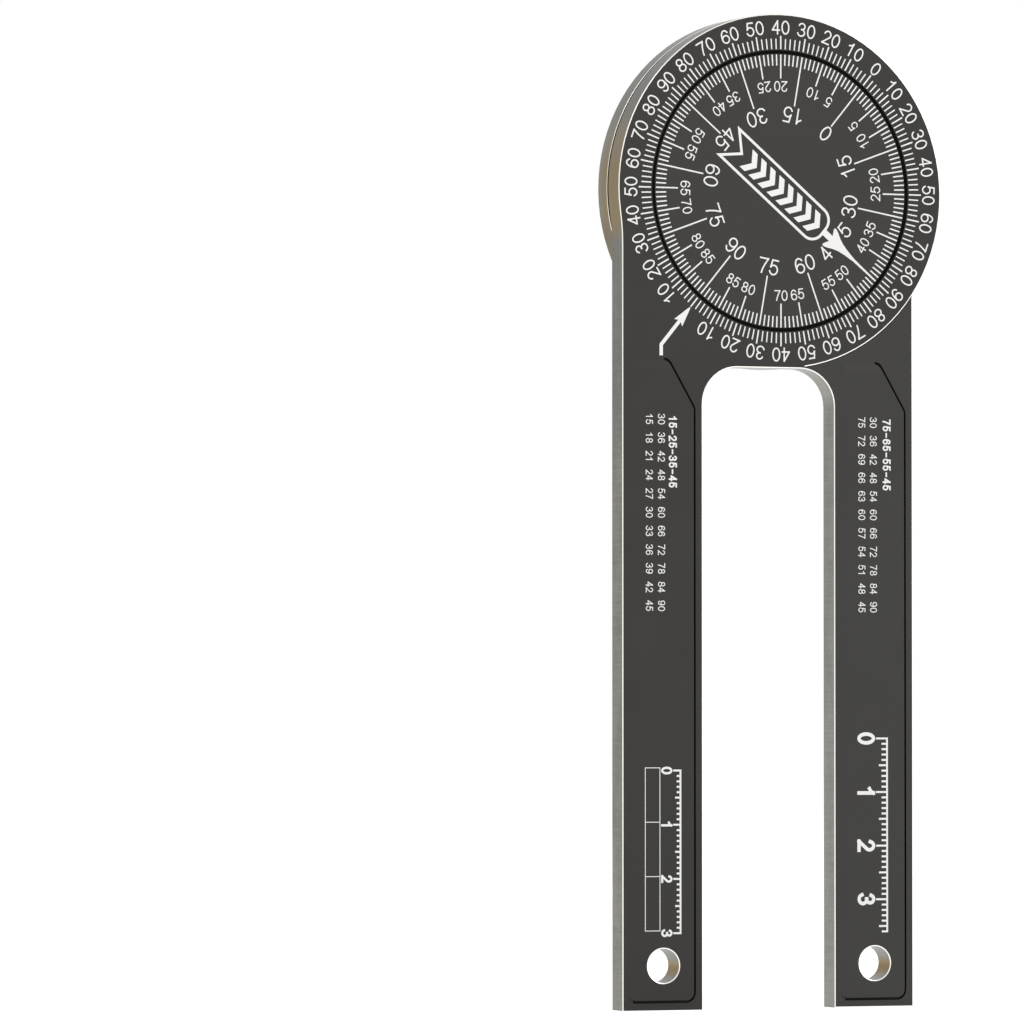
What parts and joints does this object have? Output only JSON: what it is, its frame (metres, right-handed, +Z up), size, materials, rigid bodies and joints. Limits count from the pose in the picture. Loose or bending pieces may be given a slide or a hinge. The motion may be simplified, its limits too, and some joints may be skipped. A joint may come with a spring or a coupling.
{
  "type": "angle finder with two arms",
  "caption": "Flat metal angle finder: two long arms hinged at a round head, a graduated dial turning flush inside a graduated ring.",
  "frame": {"origin": "on the ground plane of the leg ends, straight below the pivot axis, half-way through the thickness", "axes": "+Z up the legs to the head, +X to the right as seen from the front, +Y from the front face to the back; the dial faces -Y"},
  "size_m": [0.066, 0.0102, 0.185],
  "materials": {
    "anodised_aluminium": "dark grey anodised faces, bright machined edges",
    "black_acetal": "matte",
    "white_nylon": "matte",
    "spring_steel": "satin",
    "stainless_steel": "satin",
    "white_print": "flat screen-printed ink"
  },
  "bodies": {
    "left_arm_body": {"left_arm": "anodised_aluminium", "rim_bearing": "black_acetal", "hub_bearing": "black_acetal", "thrust_washer": "white_nylon"},
    "right_arm_body": {"right_arm": "anodised_aluminium", "dial_plate": "anodised_aluminium", "wave_spring": "spring_steel", "dial_screw_1": "stainless_steel", "dial_screw_2": "stainless_steel", "dial_screw_3": "stainless_steel", "dial_screw_4": "stainless_steel", "locating_pin_1": "stainless_steel", "locating_pin_2": "stainless_steel"}
  },
  "joints": [
    {"name": "arm_hinge", "type": "hinge", "parent": "left_arm_body", "child": "right_arm_body", "pos_m": [0, 0, 0.152], "axis": [0, -1, 0], "range_deg": [0, 227]}
  ]
}
